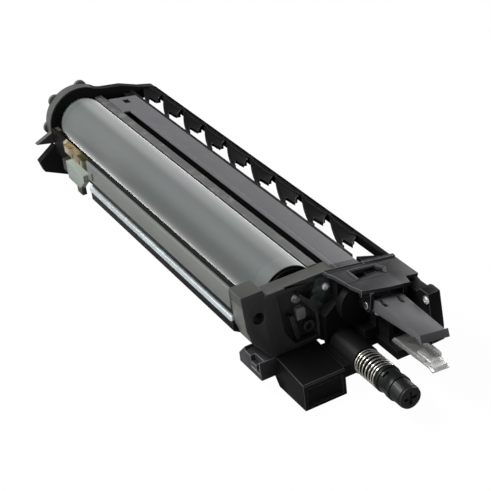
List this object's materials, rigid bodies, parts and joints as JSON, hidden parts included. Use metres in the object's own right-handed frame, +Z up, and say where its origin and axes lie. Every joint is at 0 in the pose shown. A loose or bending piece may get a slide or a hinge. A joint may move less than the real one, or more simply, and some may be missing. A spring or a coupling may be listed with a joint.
{
  "type": "printer drum unit",
  "caption": "Long printer drum unit: a grey drum in an open black trough, with a tilted cover, a vaned guide rail, a sprung toner outlet and a grip lever at its front end.",
  "frame": {"origin": "middle of the bounding box, at the level of the surface the unit stands on", "axes": "+X along the drum towards the front end with the lever, +Y towards the guide rail, +Z up"},
  "size_m": [0.4756, 0.1166, 0.0887],
  "materials": {
    "black_plastic": "satin",
    "grey_plastic": "satin",
    "pale_panel": "satin",
    "lever_plastic": "satin",
    "drum_coating": "satin",
    "bright_aluminium": "satin",
    "shaft_steel": "brushed",
    "plated_steel": "satin",
    "screw_steel": "bright",
    "spring_steel": "bright",
    "tab_metal": "satin",
    "tongue_metal": "satin",
    "brass": "satin",
    "bronze_bush": "oiled",
    "gear_plastic": "satin",
    "flange_plastic": "satin",
    "sleeve_plastic": "satin",
    "cap_plastic": "satin",
    "holder_plastic": "satin",
    "window_plastic": "satin",
    "roller_rubber": "matt",
    "blade_rubber": "matt",
    "felt": "felt"
  },
  "bodies": {
    "frame": {"main_frame": "black_plastic", "left_side_cover": "pale_panel", "side_rail": "bright_aluminium", "top_cover": "grey_plastic", "guide_rail": "black_plastic", "front_plate": "grey_plastic", "front_housing": "black_plastic", "front_deck": "grey_plastic", "right_cheek": "black_plastic", "front_box": "black_plastic", "corner_foot": "grey_plastic", "rear_housing": "black_plastic", "rear_plate": "grey_plastic", "drum_shaft": "shaft_steel", "waste_pipe": "black_plastic", "pipe_cap": "cap_plastic", "shutter_spring": "spring_steel", "charge_bearing_front": "flange_plastic", "charge_bearing_rear": "flange_plastic", "blade_bracket": "plated_steel", "cleaning_blade": "blade_rubber", "lever_pin": "shaft_steel", "latch_tongue": "tongue_metal", "ground_tab": "tab_metal", "window_tab": "window_plastic", "contact_holder": "holder_plastic", "brass_contact": "brass", "drum_seal_front": "felt", "drum_seal_rear": "felt", "rear_foot": "black_plastic", "tab_screw": "screw_steel", "housing_screws": "screw_steel", "cheek_screws": "screw_steel"},
    "drum": {"drum_tube": "drum_coating", "drum_front_flange": "flange_plastic", "front_bushing": "bronze_bush", "drum_gear": "gear_plastic"},
    "auger": {"auger_screw": "gear_plastic", "auger_gear": "gear_plastic"},
    "charge_roller": {"charge_roller_core": "shaft_steel", "charge_roller_rubber": "roller_rubber"},
    "shutter": {"shutter_sleeve": "sleeve_plastic"},
    "lever": {"grip_lever": "lever_plastic"}
  },
  "joints": [
    {"name": "drum_spin", "type": "hinge", "parent": "frame", "child": "drum", "pos_m": [-0.0388, -0.0133, 0.0575], "axis": [1, 0, 0], "continuous": true},
    {"name": "auger_spin", "type": "hinge", "parent": "frame", "child": "auger", "pos_m": [0.0112, 0.0104, 0.02162], "axis": [1, 0, 0], "continuous": true},
    {"name": "charge_roller_spin", "type": "hinge", "parent": "frame", "child": "charge_roller", "pos_m": [-0.0388, -0.02645, 0.03472], "axis": [1, 0, 0], "continuous": true},
    {"name": "shutter_slide", "type": "slide", "parent": "frame", "child": "shutter", "axis": [1, 0, 0], "range_m": [-0.009, 0], "stiffness_N_per_m": 150, "springref_m": 0.004, "deforming": ["shutter_spring"]},
    {"name": "lever_hinge", "type": "hinge", "parent": "frame", "child": "lever", "pos_m": [0.1812, 0.02904, 0.05925], "axis": [0, 0.9877, -0.1564], "range_deg": [0, 10], "stiffness_Nm_per_rad": 0.12, "springref_deg": -8.59}
  ],
  "couplings": [
    {"joint": "auger_spin", "follows": "drum_spin", "ratio": -1.5294},
    {"joint": "charge_roller_spin", "follows": "drum_spin", "ratio": -3.3333}
  ]
}
